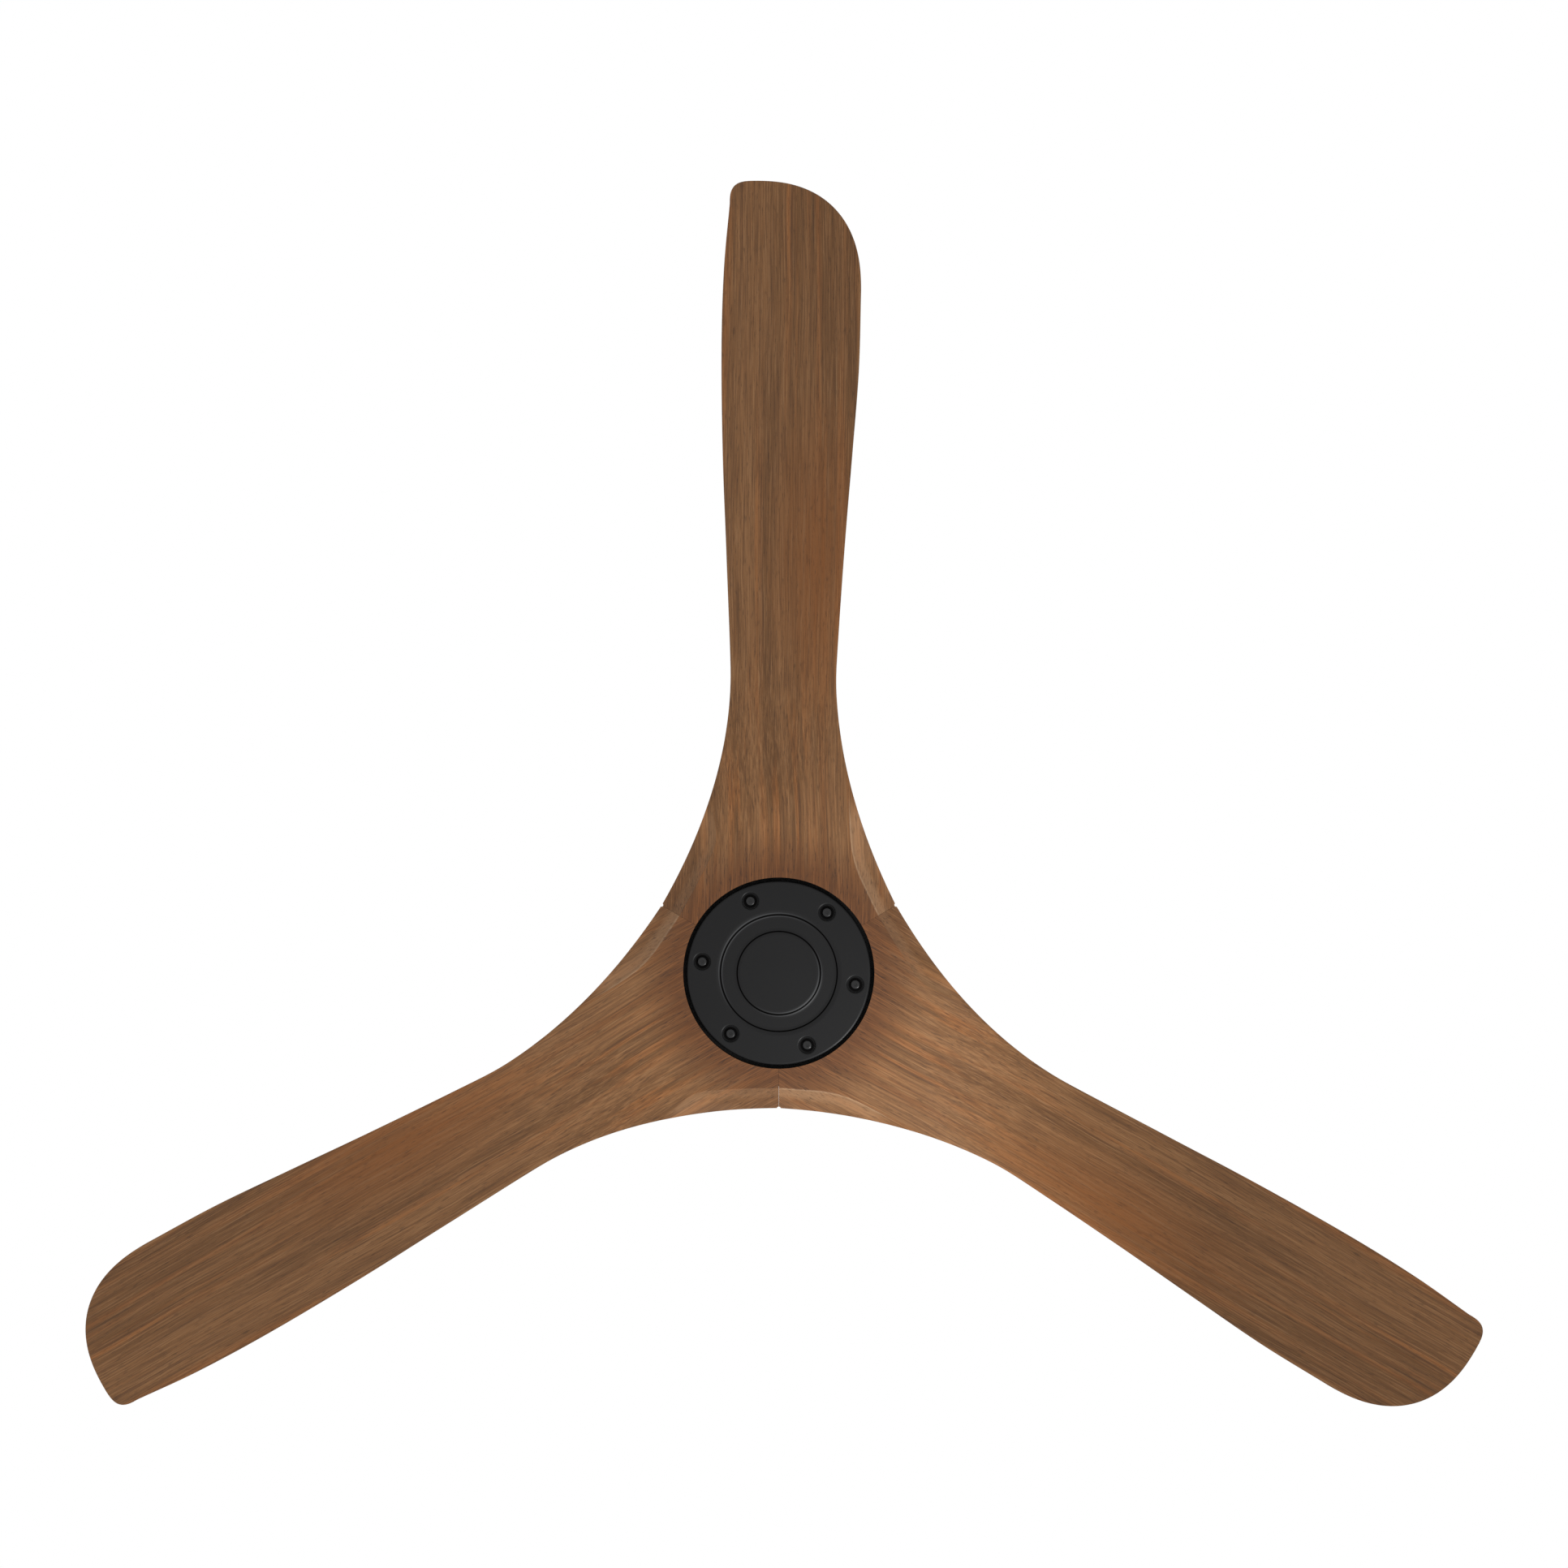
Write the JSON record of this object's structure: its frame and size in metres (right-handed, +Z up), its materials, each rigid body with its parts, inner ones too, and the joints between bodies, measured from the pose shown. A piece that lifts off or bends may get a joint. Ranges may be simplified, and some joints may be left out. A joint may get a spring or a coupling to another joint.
{
  "type": "ceiling fan",
  "caption": "Ceiling fan on a short downrod, with carved wooden blades that meet at the hub and turn around a fixed round black bottom plate.",
  "frame": {"origin": "centre of the hanger bracket's top face, against the ceiling", "axes": "+Z up along the axis the blades turn about, +Y along blade_1"},
  "size_m": [1.3438, 1.1779, 0.306],
  "materials": {
    "wood": "satin oiled walnut-brown veneer grain along each blade",
    "black_metal": "matte black powder coat",
    "black_screw": "black oxide",
    "zinc_steel": "zinc plated",
    "cast_aluminium": "as cast",
    "lamination": "varnished electrical steel",
    "copper": "enamelled copper wire",
    "magnet": "sintered ferrite",
    "bearing_steel": "ground bearing steel",
    "brass_cage": "pressed brass",
    "ball_plastic": "moulded nylon",
    "receiver_plastic": "moulded ABS"
  },
  "bodies": {
    "ceiling_mount": {"hanger_bracket": "zinc_steel", "canopy": "black_metal", "canopy_ring": "black_metal", "canopy_screws": "black_screw", "control_receiver": "receiver_plastic"},
    "hanging_assembly": {"hanger_ball": "ball_plastic", "ball_pin": "zinc_steel", "ball_set_screw": "zinc_steel", "downrod": "black_metal", "yoke": "cast_aluminium", "yoke_set_screws": "zinc_steel", "yoke_lock_nuts": "zinc_steel", "clevis_pin": "zinc_steel", "hairpin_clip": "zinc_steel", "motor_housing": "black_metal", "housing_screws": "zinc_steel", "housing_nuts": "zinc_steel", "motor_shaft": "zinc_steel", "shaft_spacers": "zinc_steel", "stator_core": "lamination", "stator_windings": "copper", "upper_bearing_inner": "bearing_steel", "lower_bearing_inner": "bearing_steel", "mounting_pan": "zinc_steel", "shaft_washer": "zinc_steel", "shaft_nut": "zinc_steel", "bottom_plate": "black_metal", "trim_ring": "black_metal", "centre_cap": "black_metal", "plate_screws": "black_screw"},
    "rotor": {"rotor_cover": "cast_aluminium", "rotor_base": "cast_aluminium", "rotor_screws": "zinc_steel", "rotor_magnets": "magnet", "upper_bearing_outer": "bearing_steel", "lower_bearing_outer": "bearing_steel", "blade_1": "wood", "blade_2": "wood", "blade_3": "wood", "blade_screws": "zinc_steel", "blade_washers": "zinc_steel"},
    "coupling_cover": {"coupling_cover": "black_metal"},
    "upper_cage": {"upper_bearing_cage": "brass_cage", "upper_bearing_balls": "bearing_steel"},
    "lower_cage": {"lower_bearing_cage": "brass_cage", "lower_bearing_balls": "bearing_steel"}
  },
  "joints": [
    {"name": "hanger_tilt", "type": "hinge", "parent": "ceiling_mount", "child": "hanging_assembly", "pos_m": [0, 0, -0.048], "axis": [1, 0, 0], "range_deg": [-8, 8]},
    {"name": "rotor_spin", "type": "hinge", "parent": "hanging_assembly", "child": "rotor", "pos_m": [0, 0, -0.25], "axis": [0, 0, 1], "continuous": true},
    {"name": "cover_lift", "type": "slide", "parent": "hanging_assembly", "child": "coupling_cover", "axis": [0, 0, 1], "range_m": [0, 0.055]},
    {"name": "upper_cage_spin", "type": "hinge", "parent": "hanging_assembly", "child": "upper_cage", "pos_m": [0, 0, -0.21], "axis": [0, 0, 1], "continuous": true},
    {"name": "lower_cage_spin", "type": "hinge", "parent": "hanging_assembly", "child": "lower_cage", "pos_m": [0, 0, -0.26], "axis": [0, 0, 1], "continuous": true}
  ],
  "couplings": [
    {"joint": "upper_cage_spin", "follows": "rotor_spin", "ratio": 0.6053},
    {"joint": "lower_cage_spin", "follows": "rotor_spin", "ratio": 0.6053}
  ]
}
